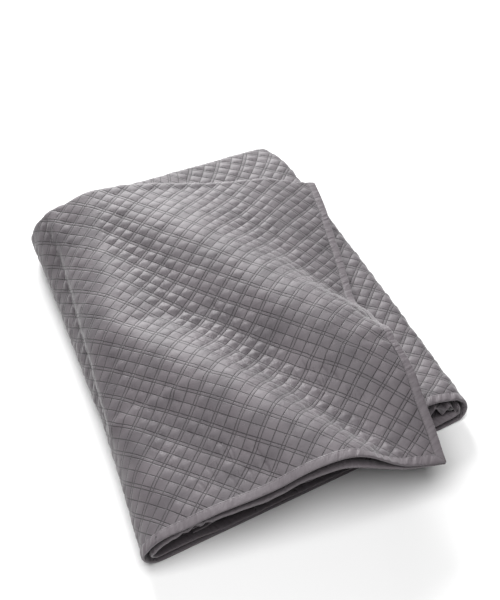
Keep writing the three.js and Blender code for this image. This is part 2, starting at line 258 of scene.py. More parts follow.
def plyGap(q):
    flapLength = lie["flapEdge"] - foldAt
    run = q[:, None] / flapLength
    across = lie["flapEdge"] - q[:, None]
    opening = lie["hollow"] * smooth((1 - run) * flapLength, 0, lie["hollowFade"])
    tipAcross = 1 - smooth(q[:, None], 0, lie["tipRun"])
    tip = tipAcross * (1 - smooth(backLine[None, :], 0, lie["tipRun"]))
    crests = np.maximum(waveRise(across, backLine[None, :]), 0)
    flap = mix(lie["plyGap"], lie["tipGap"], tip) + opening * crests
    tuck = np.clip((q - foldQ) / (tailQ - foldQ), 0, 1)[:, None]
    rest = mix(lie["plyGap"], lie["tailGap"], tuck) + 0 * backLine[None, :]
    return np.where(run < 1, flap, rest)


def farEnd(q):
    done = np.clip(q / (lie["flapEdge"] - foldLine(depth)), 0, 1)
    return depth * mix(lie["farShare"], 1, done)


def onRows(values, back):
    k = np.clip((back / backStep).astype(int), 0, len(backLine) - 2)
    t = back / backStep - k
    c = np.arange(len(values))[:, None]
    if values.ndim == 3:
        t = t[..., None]
    return mix(values[c, k], values[c, k + 1], t)


# Places where the cloth is fuller than its plain folds: q and back of the place, its reach along
# q and back, and the push that the cloth has there in x, y and z.
pushes = [
    (708, 985, 62, 130, -17, 5, 16),  # far left corner
    (0, 394, 34, 40, 0, 0, -17),  # free edge behind the long ridge
    (1685, 0, 85, 110, 0, 16, 24),  # top of the tucked third at its right end
]


def pushAt(q, back):
    total = 0
    for atQ, atBack, reachQ, reachBack, *push in pushes:
        near = np.exp(-(((q - atQ) / reachQ) ** 2) - ((back - atBack) / reachBack) ** 2)
        total = total + near[..., None] * np.array(push, float)
    return total


# Front edges of the layers under the flap lie unevenly. A stretch of cloth has the q where the
# unevenness comes in, is full, begins to go and is gone. A ripple has the height, the mm to a
# radian and the start of each of its waves.
looseEdges = {
    "amount": 1.0,
    "reachBack": 70.0,
    "slowWave": ((1.0, 41.0, 0.6), (0.6, 19.0, 2.0)),
    "crumple": ((0.7, 9.0, 1.0), (0.5, 5.7, 0.0)),
    "tucked": (foldQ + 60, foldQ + 140),  # comes in and stays
    "tuckedLift": (4.0, 2.0, -2.0),  # of the slow wave, of the crumple, and plain
    "tuckedOuter": 1.2,  # of the slow wave, on the outer ply
    "bend": (foldQ - 60, foldQ - 10, foldQ + 90, foldQ + 140),
    "bendRipple": ((3.0, 12.0, 0.0), (2.0, 7.0, 1.0)),
    "pleats": (foldQ + 50, foldQ + 85, foldQ + 190, foldQ + 240),
    "pleatHeight": 11.0,
    "pleatLength": 5.6,  # mm to a radian
    "pleatSharp": 0.9,
    "pleatDrop": 13.0,
    "bunch": (574.0, 34.0),  # middle and reach, under the flap's front edge
    "bunchRipple": ((5.0, 4.1, 0.0),),
    "bunchLift": 3.0,
    "bottom": (850.0, 930.0, foldQ - 140, foldQ - 60),
    "bottomLift": (1.4, 0.6, -8.0),  # pressed down on the bottom third
    "top": (280.0, 380.0, 560.0, 680.0),
    "topLift": (1.8, 0.8, 4.0),
}


def ripple(q, name):
    return sum(height * np.sin(q / length + start) for height, length, start in looseEdges[name])


def slack(q, back, inner):
    slow, crumple = ripple(q, "slowWave"), ripple(q, "crumple")

    def within(name):
        comes, full, goes, gone = looseEdges[name]
        return smooth(q, comes, full) * (1 - smooth(q, goes, gone)) * inner

    def uneven(name):
        ofSlow, ofCrumple, plain = looseEdges[name]
        return ofSlow * slow + ofCrumple * crumple + plain

    tucked = smooth(q, *looseEdges["tucked"])
    lift = tucked * np.where(inner, uneven("tuckedLift"), looseEdges["tuckedOuter"] * slow)
    lift = lift + within("bend") * ripple(q, "bendRipple")
    pleat = np.arcsin(looseEdges["pleatSharp"] * np.sin(q / looseEdges["pleatLength"]))
    lift = lift + within("pleats") * (looseEdges["pleatHeight"] * pleat - looseEdges["pleatDrop"])
    bunchAt, bunchReach = looseEdges["bunch"]
    bunched = np.exp(-(((q - bunchAt) / bunchReach) ** 2)) * inner
    lift = lift + bunched * (ripple(q, "bunchRipple") + looseEdges["bunchLift"])
    lift = lift + within("bottom") * uneven("bottomLift") + within("top") * uneven("topLift")
    near = np.exp(-((np.maximum(back, 0) / looseEdges["reachBack"]) ** 2))
    return (looseEdges["amount"] * near * lift)[..., None] * np.array([0, 0, 1.0])


# Middle of the cloth and the way its face looks, for columns q and rows. A row is a length of
# cloth from the front edge of the outer ply, or, where inner is true, from that of the inner ply.
def layCloth(q, rows, inner):
    q, rows, inner = np.asarray(q, float), np.asarray(rows, float), np.asarray(inner, bool)
    ply = outerPly(q)
    alongBack = unit(np.gradient(ply, backLine, axis=1))
    alongRun = np.gradient(ply, q, axis=0)
    normal = unit(np.cross(alongBack, alongRun))
    half = plyGap(q) / 2
    far = farEnd(q)[:, None]
    halfFar = onRows(half, far)
    arc = math.pi * halfFar
    turn = np.where(inner, math.pi, np.clip((rows[None, :] - far) / arc, 0, 1) * math.pi)
    back = np.where(inner, rows[None, :], np.minimum(rows[None, :], far))
    back = np.where(inner, back, back - np.maximum(rows[None, :] - far - arc, 0))
    point, n, d = onRows(ply, back), unit(onRows(normal, back)), unit(onRows(alongBack, back))
    h = onRows(half, back)[..., None]
    out = np.cos(turn)[..., None] * n + np.sin(turn)[..., None] * d
    shift = np.array([*lie["middleOfAll"], 0])
    loose = pushAt(q[:, None], back) + slack(q[:, None], back, turn > math.pi / 2)
    return point - n * h + out * h - shift + loose, out


print("fold worked out")

# Quilted panel
quilting = {
    "cell": 28.0,  # between neighbouring stitch lines
    "corner": (626.0, 31.0),  # a crossing of double rows, across and back
    "steps": 8,  # mesh steps across a cell
    "hiddenStep": 25.0,  # mesh step where the cloth doesn't show
    "backEvery": 5,  # lines of the face for one of the cloth's back
    "puff": 2.0,  # rise of a cell
    "fullness": 0.55,  # below 1 the cells are flatter on top
    "bandRise": 0.3,  # of a cell's rise, between the two lines of a double row
    "rimFade": (-2.0, 5.0),  # from the binding's inner edge, where the rise begins and is full
    "sharpBend": 0.008,  # bend of the flap, 1/mm, at which its cells are fully pinched
    "pinch": 0.95,
    "pinchRise": 1.25,  # of a cell's rise, at the top of a pinched one
    "troughRise": 0.9,  # more rise in a trough and less on a crest
    "ladderRise": 0.8,  # more rise on the far flanks of the ridges
    "ladderShown": (30.0, 60.0),  # rise of a ridge at which that begins and is full
    "ladderSkew": 0.8,  # below 1 it is strongest nearer the crest
    "longLadder": 0.8,  # share of it on the long ridge
    "uneven": 0.25,  # cells differ by up to this share of their rise
    "lean": 0.7,  # cells lean to a side by up to about half this share of it
    "rumple": 0.7,  # slow unevenness of the cloth
    "rumpleLength": 70.0,
    "rumpleWaves": 7,
    "offFloor": (6.0, 14.0),  # heights between which the unevenness comes in
    "seed": 7,
}

# Binding round the panel's edges, which the panel's rim has to fit.
binding = {
    "width": 22.0,
    "over": 4.0,  # stands out over the front edge of the solid by this much
    "wall": 0.8,
    "clear": 0.3,  # to the cloth inside it
    "rimClear": 0.4,  # more of that at the cloth's rim
    "noseWall": 0.2,  # more wall at the very edge
    "step": 3.0,
    "mitreRoom": 3.0,  # from a mitre to the first straight station
    "mitreGaps": (1.2, 0.25),  # from the mitre to its two stations
    "pucker": 1.3,
    "endPucker": 0.5,
    "puckerLength": 17.0,
    "puckerSlant": 0.35,
    "puckerSpread": 0.7,  # below 1 they reach nearer to the strip's two edges
    "puckerWaves": 6,
    "puckerLimits": (-0.8, 1.6),
    "endThin": 0.8,  # share of the thickness kept at a mitre
    "seed": 21,
}

# Columns and rows of the panel: fine where the cloth shows, on the lattice of the quilting.
period = 2 * quilting["steps"]  # mesh steps from one double row to the next
single = quilting["steps"]  # and to the single row between them
pitch = quilting["cell"] * math.sqrt(2) / quilting["steps"]  # mesh step, as the lines lie at 45 degrees
cornerAcross, cornerBack = quilting["corner"]
latticeQ = lie["flapEdge"] - cornerAcross
over = binding["over"]
bindWidth = binding["width"]
clearEdge = binding["wall"] + binding["clear"] + binding["rimClear"]
frontRow = clearEdge - over
leastStep = 1.0  # from the rim to the first line of the lattice
outerEnd = depth + 45  # rows of the outer ply go round the far fold and end here
innerEnd = 880.0  # those of the inner ply go on from here


def onLattice(lowest, highest, start):
    first = math.ceil((lowest - start) / pitch)
    last = math.floor((highest - start) / pitch)
    return start + pitch * np.arange(first, last + 1)


def between(a, b):
    return np.linspace(a, b, max(int((b - a) / quilting["hiddenStep"]), 1) + 1)[1:-1]


leftLines = onLattice(clearEdge + leastStep, leftQ, latticeQ)
rightLines = onLattice(rightQ, shownQ, latticeQ)
panelQ = np.concatenate([
    [clearEdge], leftLines, between(leftLines[-1], rightLines[0]), rightLines,
    between(rightLines[-1], tailQ - clearEdge), [tailQ - clearEdge],
])
outerRows = np.concatenate([[frontRow], onLattice(frontRow + leastStep, outerEnd, cornerBack)])
innerRows = np.linspace(innerEnd, frontRow, int(innerEnd / quilting["hiddenStep"]))
panelRows = np.concatenate([outerRows, innerRows])
panelInner = np.concatenate([np.zeros(len(outerRows), bool), np.ones(len(innerRows), bool)])
panelOuter = ~panelInner[None, :]

mid, out = layCloth(panelQ, panelRows, panelInner)

# Lattice numbers: they count mesh steps across the two families of stitch lines.
columnIndex = (panelQ - latticeQ) / pitch
rowLength = np.where(panelInner, 2 * depth - panelRows, panelRows)
rowIndex = (rowLength - cornerBack) / pitch
countA = columnIndex[:, None] + rowIndex[None, :]
countB = columnIndex[:, None] - rowIndex[None, :]
flatGrid = 0 * countA  # spreads a line of values over the panel
acrossAll = lie["flapEdge"] - panelQ[:, None] + flatGrid
backAll = rowLength[None, :] + flatGrid


# Share of the way across a cell, or across the narrow band of a double row.
def cellShare(count):
    m = np.mod(count, period)
    m = np.where(m < 1, m + period, m)
    band = m >= period - 1
    cell = np.where(m <= single, m - 1, m - single) / (single - 1)
    return np.clip(np.where(band, (m - period + 1) / 2, cell), 0, 1), band


def dome(count):
    part, band = cellShare(count)
    rise = np.maximum(np.sin(math.pi * part), 0)
    return np.where(band, quilting["bandRise"] * rise, rise ** quilting["fullness"])


def tent(count):
    part, band = cellShare(count)
    return np.where(band, quilting["bandRise"], 1) * (1 - np.abs(2 * part - 1))


def onFlap(grid, across, back):
    lastAcross, lastBack = len(acrossLine) - 1.001, len(backLine) - 1.001  # just inside the grid
    k = np.clip((across - acrossLine[0]) / acrossStep, 0, lastAcross)
    j = np.clip(back / backStep, 0, lastBack)
    k0, j0 = k.astype(int), j.astype(int)
    front = mix(grid[k0, j0], grid[k0 + 1, j0], k - k0)
    return mix(front, mix(grid[k0, j0 + 1], grid[k0 + 1, j0 + 1], k - k0), j - j0)


# Each cell has its own rise and lean.
rng = np.random.default_rng(quilting["seed"])
cellTable = 200  # cells each way before the values come round again
cellRise = 1 + quilting["uneven"] * (2 * rng.random((cellTable, cellTable)) - 1)
cellLean = rng.random((cellTable, cellTable, 2)) - 0.5
cellA = np.floor(countA / single).astype(int) % cellTable
cellB = np.floor(countB / single).astype(int) % cellTable
lean = cellLean[cellA, cellB]
leanA = lean[..., 0] * (np.mod(countA / single, 1) - 0.5)
leanB = lean[..., 1] * (np.mod(countB / single, 1) - 0.5)
leanRise = 1 + quilting["lean"] * (leanA + leanB)

# The rise is shown on the outer ply's fine part, inside the binding.
fineColumn = np.isin(panelQ, np.concatenate([leftLines, rightLines]))
fromFront = panelRows + over
fromEdge = np.minimum(panelQ[:, None], fromFront[None, :])
fadeFrom, fadeTo = quilting["rimFade"]
showPuff = (fineColumn[:, None] & panelOuter) * smooth(fromEdge, bindWidth + fadeFrom, bindWidth + fadeTo)


# Slow unevenness, the same on every build: a few waves in seeded directions.
def rumple(q, r):
    total = 0
    for k in range(quilting["rumpleWaves"]):
        way = math.tau * rng.random()
        length = quilting["rumpleLength"] * (0.6 + rng.random())  # 0.6 to 1.6 of it
        along = q[:, None] * math.cos(way) + r[None, :] * math.sin(way)
        total = total + np.sin(math.tau * along / length + math.tau * rng.random())
    return quilting["rumple"] * total / quilting["rumpleWaves"] ** 0.5


# Main creases of the flap: across and back of both ends, depth.
creases = [
    (486, 310, 482, 280, 2.0),
    (517, 280, 522, 243, 2.0),
    (530, 262, 537, 238, 1.6),
    (496, 254, 499, 232, 1.8),
    (370, 450, 377, 418, 1.3),
    (343, 488, 348, 455, 1.5),
    (365, 500, 372, 473, 1.2),
    (328, 543, 340, 517, 1.3),
    (340, 573, 352, 547, 1.2),
    (254, 686, 264, 653, 1.1),
    (237, 648, 241, 607, 1.2),
    (227, 596, 235, 567, 1.1),
    (234, 145, 240, 97, 2.2),
    (246, 132, 250, 97, 1.8),
    (263, 70, 271, 43, 1.6),
    (295, 101, 300, 77, 1.3),
    (302, 66, 306, 34, 1.7),
    (227, 65, 236, 35, 1.5),
    (191, 101, 197, 73, 1.2),
    (165, 80, 174, 51, 1.4),
    (552, 211, 554, 184, 1.6),
    (583, 123, 591, 98, 1.4),
    (573, 193, 580, 166, 1.6),
]
creasing = {
    "reach": 6.0,  # to each side
    "wander": 2.5,
    "wanderLength": 9.0,  # mm to a radian
    "fadeOut": 9.0,  # gone this far past an end
    "fadeIn": 7.0,  # and full this far inside it
    "far": 60.0,  # distance noted where there is none
}


# Distance from the nearest crease and how strongly it shows there.
def creaseField(across, back):
    nearest = np.full(across.shape, creasing["far"])
    strength = np.zeros(across.shape)
    fadeOut, fadeIn = creasing["fadeOut"], creasing["fadeIn"]
    for fromAcross, fromBack, toAcross, toBack, deep in creases:
        way = np.array([toAcross - fromAcross, toBack - fromBack], float)
        length = np.linalg.norm(way)
        way /= length
        dx, dy = across - fromAcross, back - fromBack
        along = dx * way[0] + dy * way[1]
        aside = dx * way[1] - dy * way[0] + creasing["wander"] * np.sin(along / creasing["wanderLength"])
        ends = smooth(along, -fadeOut, fadeIn) * (1 - smooth(along, length - fadeIn, length + fadeOut))
        near = (np.abs(aside) < np.abs(nearest)) & (ends > 0)
        nearest = np.where(near, aside, nearest)
        strength = np.where(near, ends * deep, strength)
    return nearest, strength


creaseAside, creaseDepth = creaseField(acrossAll, backAll)
creaseDent = creaseDepth * np.exp(-((creaseAside / creasing["reach"]) ** 2))


# Where a ridge's far flank draws the cells up into small rungs.
def ladder(rows):
    off = acrossAll - waveValue(rows, "across", backAll)
    near = np.clip(off / waveValue(rows, "right", backAll), 0, 1)
    shown = smooth(waveValue(rows, "rise", backAll), *quilting["ladderShown"]) * (backAll < rows[-1][0])
    return np.sin(math.pi * near ** quilting["ladderSkew"]) ** 2 * shown * panelOuter


ladderAll = np.maximum(ladder(waves["frontRidge"]), quilting["longLadder"] * ladder(waves["longRidge"]))

# Cloth in a trough is pressed together: its cells stand higher and are pinched into four sides.
flapBend = np.gradient(np.gradient(flapZ, acrossStep, axis=0), acrossStep, axis=0)
onTop = (acrossAll > foldLine(backAll)) & panelOuter
trough = np.clip(onFlap(flapBend, acrossAll, backAll) / quilting["sharpBend"], -1, 1) * onTop
pinch = np.clip(trough, 0, 1)
domed = dome(countA) * dome(countB)
pinched = quilting["pinchRise"] * np.minimum(tent(countA), tent(countB))
shape = mix(domed, pinched, quilting["pinch"] * pinch)
fuller = 1 + quilting["troughRise"] * trough + quilting["ladderRise"] * ladderAll
puff = quilting["puff"] * shape * fuller * cellRise[cellA, cellB] * leanRise * showPuff
uneven = rumple(panelQ, rowLength) * smooth(mid[..., 2], *quilting["offFloor"]) * panelOuter
face = mid + out * (lie["sheet"] / 2 + puff + uneven - creaseDent * showPuff)[..., None]
face[..., 2] = np.maximum(face[..., 2], 0)
print("panel grid", face.shape)


def buildMesh(name, points, triangles, attributes):
    mesh = bpy.data.meshes.new(name)
    mesh.from_pydata((points * mm).tolist(), [], triangles.tolist())
    for key, values in attributes.items():
        attribute = mesh.attributes.new(key, "FLOAT_VECTOR", "POINT")
        attribute.data.foreach_set("vector", values.astype(np.float32).ravel())
    mesh.shade_smooth()
    piece = bpy.data.objects.new(name, mesh)
    bpy.context.scene.collection.objects.link(piece)
    return piece


def asTriangles(*corners):
    return np.stack(corners, -1).reshape(-1, 3)


def onStitch(count):
    m = np.mod(np.round(count).astype(int), period)
    return (m == 1) | (m == period - 1) | (m == single)


# Cells are split along their stitch lines, so that these stay crisp.
def quiltTriangles(columns, rows):
    c, r = np.meshgrid(np.arange(columns - 1), np.arange(rows - 1), indexing="ij")
    p00, p10 = c * rows + r, (c + 1) * rows + r
    p01, p11 = p00 + 1, p10 + 1
    splitB = onStitch(countB[:-1, :-1]) & ~onStitch(countA[:-1, :-1] + 1)
    first = asTriangles(p00, p01, np.where(splitB, p11, p10))
    second = asTriangles(np.where(splitB, p00, p10), np.where(splitB, p11, p01), np.where(splitB, p10, p11))
    return np.concatenate([first, second])


columns, rows = len(panelQ), len(panelRows)
place = np.stack([panelQ[:, None] + flatGrid, backAll, flatGrid], -1) * mm
latticePlace = np.stack([countA / single, countB / single, np.maximum(pinch, ladderAll)], -1)
creasePlace = np.stack([creaseAside * mm, creaseDepth, flatGrid], -1)

# The back of the cloth takes every few lines only, and its rim closes on the face.
backColumns = np.unique(np.append(np.arange(0, columns, quilting["backEvery"]), columns - 1))
backRows = np.unique(np.append(np.arange(0, rows, quilting["backEvery"]), rows - 1))
backPick = np.ix_(backColumns, backRows)
under = (mid - out * (lie["sheet"] / 2) + out * uneven[..., None])[backPick]
under[..., 2] = np.maximum(under[..., 2], 0)
faceIds = np.arange(columns * rows).reshape(columns, rows)
underIds = columns * rows + np.arange(len(backColumns) * len(backRows)).reshape(under.shape[:2])
u00, u10, u01, u11 = underIds[:-1, :-1], underIds[1:, :-1], underIds[:-1, 1:], underIds[1:, 1:]
underTriangles = np.concatenate([asTriangles(u00, u10, u01), asTriangles(u10, u11, u01)])


def rim(faceLine, underLine, picks, flip):
    found = []
    for k in range(len(picks) - 1):
        stretch = faceLine[picks[k]:picks[k + 1] + 1]
        found += [(stretch[s], stretch[s + 1], underLine[k]) for s in range(len(stretch) - 1)]
        found.append((stretch[-1], underLine[k + 1], underLine[k]))
    return [t[::-1] for t in found] if flip else found


rimTriangles = np.array(
    rim(faceIds[:, 0], underIds[:, 0], backColumns, False)
    + rim(faceIds[:, -1], underIds[:, -1], backColumns, True)
    + rim(faceIds[0], underIds[0], backRows, True)
    + rim(faceIds[-1], underIds[-1], backRows, False)
)


def withBack(values):
    return np.concatenate([values.reshape(-1, 3), values[backPick].reshape(-1, 3)])


panel = buildMesh(
    "quilted_panel_cloth",
    np.concatenate([face.reshape(-1, 3), under.reshape(-1, 3)]),
    np.concatenate([quiltTriangles(columns, rows), underTriangles, rimTriangles]),
    {
        "clothPlace": withBack(place),
        "latticePlace": withBack(latticePlace),
        "creasePlace": withBack(creasePlace),
    },
)
print("panel:", len(panel.data.polygons), "triangles")

# Section of a binding strip, a ring: distance in from the edge, distance from the cloth's middle.
inside = lie["sheet"] / 2 + binding["clear"]
outside = inside + binding["wall"]
stitchIn = bindWidth - 2.6  # the line of stitches, sunk a little
sectionHalf = [
    (bindWidth, inside + 0.2), (bindWidth - 0.5, outside - 0.1), (stitchIn, outside - 0.35),
    (bindWidth - 5, outside + 0.1), (bindWidth * 0.55, outside + 0.35),
    (bindWidth * 0.25, outside + 0.25), (2.0, outside - 0.1), (0.7, outside * 0.7),
    (0.2, outside * 0.35),
]
innerWall = binding["wall"] + binding["noseWall"]
section = np.array(
    sectionHalf + [(0.1, 0.0)] + [(x, -y) for x, y in reversed(sectionHalf)]
    + [(bindWidth, -inside), (innerWall, -inside), (innerWall, inside), (bindWidth, inside)]
)
sectionIn, sectionSide = section[:, 0], section[:, 1]
ring = len(section)
nose = len(sectionHalf)
levels, levelPick = np.unique(np.round(sectionIn, 3), return_inverse=True)
bindRng = np.random.default_rng(binding["seed"])


# Ends of a strip are closed by fans from the two inner corners of the ring.
def ringCap():
    lowCorner, highCorner = ring - 3, ring - 2
    upper = [(highCorner, k, k + 1) for k in range(nose)] + [(highCorner, ring - 1, 0)]
    lower = [(lowCorner, k, k + 1) for k in range(nose, ring - 4)]
    return np.array(upper + lower + [(lowCorner, highCorner, nose)])


def stripMesh(name, points, along):
    stations = len(points)
    s, k = np.meshgrid(np.arange(stations - 1), np.arange(ring), indexing="ij")
    here, beside = s * ring + k, s * ring + (k + 1) % ring
    sides = [asTriangles(here, beside, beside + ring), asTriangles(here, beside + ring, here + ring)]
    cap = ringCap()
    ends = [cap[:, ::-1], cap + (stations - 1) * ring]
    points[..., 2] = np.maximum(points[..., 2], 0)
    inward = np.broadcast_to(sectionIn, points.shape[:2])
    lengthAll = np.broadcast_to(along[:, None], points.shape[:2])
    stripPlace = np.stack([lengthAll, inward, 0 * inward], -1) * mm
    attributes = {"clothPlace": stripPlace.reshape(-1, 3)}
    return buildMesh(name, points.reshape(-1, 3), np.concatenate(sides + ends), attributes)


# Small puckers along a strip, as stitching draws them up, and thinner ends at the mitres.
def stripSides(along, pucker):
    slant = binding["puckerSlant"] * sectionIn
    total = np.zeros((len(along), ring))
    for k in range(binding["puckerWaves"]):
        wave = binding["puckerLength"] * (0.6 + 1.1 * bindRng.random())  # 0.6 to 1.7 of it
        phase = math.tau * bindRng.random()
        patchLength = 60 + 50 * bindRng.random()  # puckers come and go in patches, mm to a radian
        patch = 0.5 + 0.5 * np.sin(along / patchLength + math.tau * bindRng.random())
        total += patch[:, None] * np.sin(math.tau * (along[:, None] + slant[None, :]) / wave + phase)
    outerWall = np.abs(sectionSide) > (inside + outside) / 2
    middleShare = np.sin(math.pi * np.clip(sectionIn / bindWidth, 0, 1))
    weight = middleShare ** binding["puckerSpread"] * outerWall
    drawn = np.clip(total / binding["puckerWaves"] ** 0.5, *binding["puckerLimits"])
    side = sectionSide + np.sign(sectionSide) * pucker * drawn * weight
    side[[0, -1]] *= binding["endThin"]
    return side


straightFrom = bindWidth + binding["mitreRoom"]
pickAll = (levelPick, levelPick)


# Strip along one ply's front edge, its ends cut along the mitres.
def frontStrip(name, inner):
    q = np.arange(straightFrom, tailQ - straightFrom, binding["step"])
    flags = np.full(len(levels), inner)
    middle, look = layCloth(q, levels - over, flags)
    middle, look = middle[:, levelPick], look[:, levelPick]
    for gap in binding["mitreGaps"]:
        startMid, startOut = layCloth(levels + gap, levels - over, flags)
        stopMid, stopOut = layCloth(tailQ - levels[::-1] - gap, levels - over, flags)
        stopMid, stopOut = stopMid[::-1], stopOut[::-1]
        middle = np.concatenate([startMid[pickAll][None], middle, stopMid[pickAll][None]])
        look = np.concatenate([startOut[pickAll][None], look, stopOut[pickAll][None]])
    along = np.concatenate([[0, 1], q, [tailQ - 1, tailQ]])
    return stripMesh(name, middle + look * stripSides(along, binding["pucker"])[..., None], along)


# Strip along the free edge at one end of the cloth, round the far fold.
def endStrip(name, fromTail):
    q = tailQ - levels[::-1] if fromTail else levels
    order = slice(None, None, -1) if fromTail else slice(None)
    outerList = np.arange(straightFrom - over, outerEnd, binding["step"])
    innerList = np.arange(innerEnd, straightFrom - over, -binding["step"])
    rowList = np.concatenate([outerList, innerList])
    flags = np.concatenate([np.zeros(len(outerList), bool), np.ones(len(innerList), bool)])
    middle, look = (grid[order][levelPick].transpose(1, 0, 2) for grid in layCloth(q, rowList, flags))
    for gap in binding["mitreGaps"]:
        ends = []
        for inner in (False, True):
            endMid, endOut = layCloth(q, levels - over + gap, np.full(len(levels), inner))
            ends.append((endMid[order][pickAll][None], endOut[order][pickAll][None]))
        middle = np.concatenate([ends[0][0], middle, ends[1][0]])
        look = np.concatenate([ends[0][1], look, ends[1][1]])
    length = np.where(flags, 2 * depth - rowList, rowList)
    along = np.concatenate([[0, 1], length, [2 * depth - 1, 2 * depth]])
    return stripMesh(name, middle + look * stripSides(along, binding["endPucker"])[..., None], along)


strips = {
    "binding_front": frontStrip("binding_front_strip", False),
    "binding_under": frontStrip("binding_under_strip", True),
    "binding_flap": endStrip("binding_flap_strip", False),
    "binding_tail": endStrip("binding_tail_strip", True),
}
print("binding strips made")


# Materials
def srgb(hexColour):
    channels = [int(hexColour[k:k + 2], 16) / 255 for k in (1, 3, 5)]
    linear = [c / 12.92 if c <= 0.04045 else ((c + 0.055) / 1.055) ** 2.4 for c in channels]
    return (*linear, 1)


# Adds a node. A setting that is another node's output is linked.
def addNode(tree, kind, settings):
    made = tree.nodes.new(kind)
    for key, value in settings.items():
        if isinstance(value, bpy.types.NodeSocket):
            tree.links.new(value, made.inputs[key])
        elif isinstance(key, int) or key in made.inputs:
            made.inputs[key].default_value = value
        else:
            setattr(made, key, value)
    return made


def newMaterial(name):
    material = bpy.data.materials.new(name)
    material.use_nodes = True
    material.node_tree.nodes.clear()
    return material, material.node_tree


# What both sateens share. Lengths and depths are in mm.
cloth = {
    "colour": "#605a5e",
    "shade": "#534e52",  # duller patches
    "patchLength": 90.0,
    "patchShown": (0.35, 0.7),  # of the noise, where a patch begins and is full
    "thread": "#221f21",  # in the stitch lines; also the dark end of the painted shade in the grooves and at the binding's seam
    "specular": 0.4,
    "sheen": 0.2,
    "stitch": 6.0,  # drawn longer than a real stitch of about 3.5 mm, to show
    "weave": 0.05,
    "weaveLength": 1.6,  # drawn coarser than the real weave of about 0.2 mm
}
mathNode, rangeNode, mixNode = "ShaderNodeMath", "ShaderNodeMapRange", "ShaderNodeMix"
noiseNode, splitNode = "ShaderNodeTexNoise", "ShaderNodeSeparateXYZ"
softStep = {"interpolation_type": "SMOOTHSTEP"}
fading = {**softStep, "To Min": 1.0, "To Max": 0.0}


# Adds up the heights that lie on the cloth, each a pattern and its height in mm.
def relief(tree, parts):
    height = 0.0
    for pattern, rise in parts:
        raised = addNode(tree, mathNode, {"operation": "MULTIPLY", 0: pattern, 1: rise * mm}).outputs[0]
        height = addNode(tree, mathNode, {"operation": "ADD", 0: height, 1: raised}).outputs[0]
    return height


def finishSateen(tree, colour, height, finish):
    bump = addNode(tree, "ShaderNodeBump", {"Strength": 1.0, "Distance": 1.0, "Height": height})
    shader = addNode(tree, "ShaderNodeBsdfPrincipled", {
        "Base Color": colour,
        "Roughness": finish["roughness"],
        "Specular IOR Level": cloth["specular"],
        "Sheen Weight": cloth["sheen"],
        "Sheen Roughness": finish["sheenRoughness"],
        "Normal": bump.outputs["Normal"],
    })
    addNode(tree, "ShaderNodeOutputMaterial", {"Surface": shader.outputs["BSDF"]})


# A row of stitches along a line: the thread shows, goes under and shows again.
def stitchRow(tree, thread, along, stitch, finish):
    turn = addNode(tree, mathNode, {"operation": "MULTIPLY", 0: along, 1: math.tau / stitch}).outputs[0]
    wave = addNode(tree, mathNode, {"operation": "SINE", 0: turn}).outputs[0]
    sharp = finish["dotSharp"]
    shown = addNode(tree, rangeNode, {
        **softStep, "Value": wave, "From Min": -sharp, "From Max": sharp, "To Min": finish["dotGap"],
    }).outputs["Result"]
    return addNode(tree, mathNode, {"operation": "MULTIPLY", 0: thread, 1: shown}).outputs[0]


quiltedFinish = {
    "roughness": 0.62,
    "sheenRoughness": 0.45,
    "groove": 0.4,  # depth of a stitch line
    "grooveWidth": 2.0,
    # painted shade in the stitch grooves, as a share of the way to the thread colour
    "grooveDark": 0.85,
    "dot": 0.25,  # depth of a stitch
    "dotWidth": 0.9,
    "dotSharp": 0.4,  # smaller is sharper
    "dotGap": 0.1,  # what shows of the thread between two stitches
    "wrinkle": 0.4,
    "wrinkleLength": 20.0,
    "wrinkleWidth": 0.16,  # share of the noise to each side of a fold
    "wrinkleCalm": 0.3,  # share of it away from the troughs and flanks
    "creaseCut": 0.4,
    "creaseWidth": 5.0,
}


# Stitch lines of one family, as a band that sinks the groove and carries its painted shade, and the dots of
# their stitches. Places are in cells.
def stitchLines(tree, across, along):
    cell = quilting["cell"]
    swing = addNode(tree, mathNode, {"operation": "PINGPONG", 0: across, 1: 1.0}).outputs[0]
    fromDouble = addNode(tree, mathNode, {"operation": "SUBTRACT", 0: swing, 1: 1 / single}).outputs[0]
    toDouble = addNode(tree, mathNode, {"operation": "ABSOLUTE", 0: fromDouble}).outputs[0]
    toSingle = addNode(tree, mathNode, {"operation": "SUBTRACT", 0: 1.0, 1: swing}).outputs[0]
    near = addNode(tree, mathNode, {"operation": "MINIMUM", 0: toDouble, 1: toSingle}).outputs[0]
    line, thread = (
        addNode(tree, rangeNode, {**fading, "Value": near, "From Max": width / cell}).outputs["Result"]
        for width in (quiltedFinish["grooveWidth"], quiltedFinish["dotWidth"])
    )
    return line, stitchRow(tree, thread, along, cloth["stitch"] / cell, quiltedFinish)
